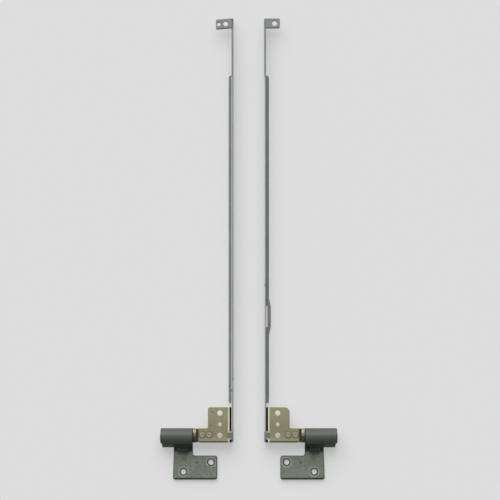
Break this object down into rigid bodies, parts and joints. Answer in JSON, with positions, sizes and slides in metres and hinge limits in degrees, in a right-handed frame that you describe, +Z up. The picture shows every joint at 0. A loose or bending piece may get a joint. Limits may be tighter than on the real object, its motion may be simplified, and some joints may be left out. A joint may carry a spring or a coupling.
{
  "type": "pair of laptop hinges",
  "caption": "Pair of friction hinges for a laptop lid, opened flat: curled barrel on a screw leaf, riveted bronze lid plate and a long side rail with a screw tab.",
  "frame": {"origin": "centre of the pair's box on the table, midway between the two hinges", "axes": "+X from the left hinge to the right one along both hinge axes, +Y along the rails away from the base leaves, +Z up from the table"},
  "size_m": [0.0922, 0.24, 0.01],
  "materials": {
    "base_steel": "dark grey-green passivated zinc on steel, satin, slightly grained",
    "shaft_steel": "ground steel with a thin film of old grease",
    "washer_bronze": "pale bronze, stamped",
    "plate_bronze": "olive-bronze chromate on steel, satin",
    "rivet_steel": "staked steel, same plating as the plate, worn bright",
    "rail_steel": "grey zinc-plated sheet steel, satin"
  },
  "bodies": {
    "base_sides": {"left_base_leaf": "base_steel", "right_base_leaf": "base_steel"},
    "left_lid_side": {"left_shaft": "shaft_steel", "left_friction_washer": "washer_bronze", "left_stop_washer": "washer_bronze", "left_lid_plate": "plate_bronze", "left_outer_rivet": "rivet_steel", "left_inner_rivet": "rivet_steel", "left_side_rail": "rail_steel"},
    "right_lid_side": {"right_shaft": "shaft_steel", "right_friction_washer": "washer_bronze", "right_stop_washer": "washer_bronze", "right_lid_plate": "plate_bronze", "right_outer_rivet": "rivet_steel", "right_inner_rivet": "rivet_steel", "right_side_rail": "rail_steel"}
  },
  "joints": [
    {"name": "left_hinge", "type": "hinge", "parent": "base_sides", "child": "left_lid_side", "pos_m": [-0.0371, -0.0982, 0.005], "axis": [1, 0, 0], "range_deg": [0, 180]},
    {"name": "right_hinge", "type": "hinge", "parent": "base_sides", "child": "right_lid_side", "pos_m": [0.0371, -0.0982, 0.005], "axis": [1, 0, 0], "range_deg": [0, 180]}
  ]
}
